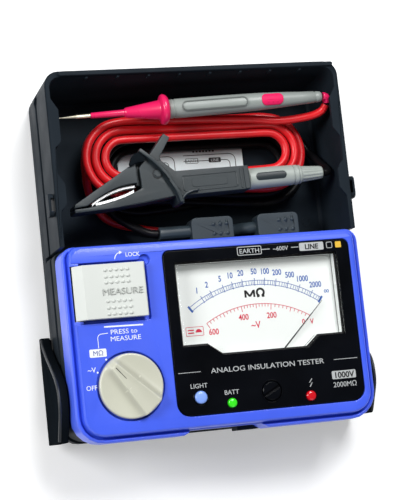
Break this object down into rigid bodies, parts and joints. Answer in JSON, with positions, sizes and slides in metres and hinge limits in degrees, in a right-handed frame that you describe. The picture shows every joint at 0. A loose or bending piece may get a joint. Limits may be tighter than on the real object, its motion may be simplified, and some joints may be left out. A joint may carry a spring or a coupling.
{
  "type": "insulation resistance tester",
  "caption": "Analog insulation resistance tester in a hard case: blue face with dial, lever key and range knob, and a tray that holds a probe lead and a clip lead.",
  "frame": {"origin": "middle of the surface that the tester lies on, under the stowed lid", "axes": "+X to the right of the face, +Y from the meter to the tray end, +Z out of the face"},
  "size_m": [0.159, 0.177, 0.0585],
  "materials": {
    "shell_blue": "moulded ABS, low gloss",
    "panel_black": "smooth gloss",
    "window_clear": "clear moulded window",
    "lens_green": "tinted lens",
    "lens_red": "tinted lens",
    "button_blue": "translucent moulding",
    "key_white": "fine moulded grain",
    "knob_cream": "satin moulding",
    "dial_white": "matt printed sheet",
    "steel": "nickel plated",
    "copper_wire": "enamelled winding",
    "pointer_black": "matt",
    "board_green": "solder mask",
    "switch_black": "moulded",
    "socket_red": "moulded",
    "cell_wrap": "plain shrink wrap",
    "case_black": "fine moulded grain",
    "label_grey": "printed film",
    "brass": "plated, satin",
    "probe_red": "soft gloss",
    "grip_grey": "satin moulding",
    "lead_red": "silicone, soft sheen",
    "lead_black": "silicone, soft sheen",
    "clip_grey": "satin moulding",
    "barrel_grey": "satin moulding"
  },
  "bodies": {
    "case": {"front_shell": "shell_blue", "display_panel": "panel_black", "meter_window": "window_clear", "battery_led_lens": "lens_green", "live_led_lens": "lens_red", "measure_key_pin": "steel", "scale_plate": "dial_white", "movement_frame": "steel", "movement_magnet": "steel", "circuit_board": "board_green", "range_switch": "switch_black", "measure_switch": "switch_black", "earth_socket": "switch_black", "line_socket": "socket_red", "battery_holder": "switch_black", "battery_1": "cell_wrap", "battery_2": "cell_wrap", "battery_3": "cell_wrap", "battery_4": "cell_wrap", "meter_housing": "case_black", "housing_screw_1": "steel", "housing_screw_2": "steel", "housing_screw_3": "steel", "housing_screw_4": "steel", "battery_door": "case_black", "battery_door_screw": "steel", "case_tray": "case_black", "storage_label": "label_grey", "strap_eyelet_right": "case_black", "strap_eyelet_left": "case_black", "probe_tip": "brass", "probe_guard": "probe_red", "probe_barrel": "grip_grey", "probe_pad": "probe_red", "probe_strain_relief": "probe_red", "red_coil": "lead_red", "red_lead_probe_end": "lead_red", "red_lead_plug_end": "lead_red", "line_plug": "grip_grey", "black_coil": "lead_black", "black_lead_plug_end": "lead_black", "earth_plug": "grip_grey", "clip_body": "clip_grey", "clip_contact_lower": "steel", "clip_pin": "steel", "clip_spring": "steel", "clip_barrel": "barrel_grey", "black_lead_clip_end": "lead_black"},
    "lid": {"lid": "case_black", "lid_ear_left": "case_black", "lid_ear_right": "case_black"},
    "measure_key": {"measure_key": "key_white"},
    "range_knob": {"range_knob": "knob_cream", "knob_shaft": "steel"},
    "light_button": {"light_button": "button_blue"},
    "pointer": {"pointer": "pointer_black", "moving_coil": "copper_wire"},
    "zero_screw": {"zero_screw": "panel_black"},
    "clip_jaw": {"clip_jaw": "clip_grey", "clip_contact_upper": "steel"}
  },
  "joints": [
    {"name": "lid_slide", "type": "slide", "parent": "case", "child": "lid", "axis": [0, 1, 0], "range_m": [0, 0.15]},
    {"name": "measure_key_hinge", "type": "hinge", "parent": "case", "child": "measure_key", "pos_m": [-0.0684, -0.01855, 0.0524], "axis": [0, -1, 0], "range_deg": [-3, 70]},
    {"name": "range_knob_turn", "type": "hinge", "parent": "case", "child": "range_knob", "pos_m": [-0.0475, -0.0632, 0.0545], "axis": [0, 0, 1], "range_deg": [0, 51]},
    {"name": "light_button_press", "type": "slide", "parent": "case", "child": "light_button", "axis": [0, 0, -1], "range_m": [0, 0.0012], "stiffness_N_per_m": 500},
    {"name": "pointer_swing", "type": "hinge", "parent": "case", "child": "pointer", "pos_m": [0.0203, -0.0627, 0.0474], "axis": [0, 0, 1], "range_deg": [0, 90], "stiffness_Nm_per_rad": 0.0005},
    {"name": "zero_screw_turn", "type": "hinge", "parent": "case", "child": "zero_screw", "pos_m": [0.0206, -0.0716, 0.054], "axis": [0, 0, 1], "continuous": true},
    {"name": "clip_jaw_open", "type": "hinge", "parent": "case", "child": "clip_jaw", "pos_m": [-0.022, 0.0374, 0.039], "axis": [0, 0, -1], "range_deg": [0, 22], "stiffness_Nm_per_rad": 0.15, "springref_deg": -11.46}
  ]
}
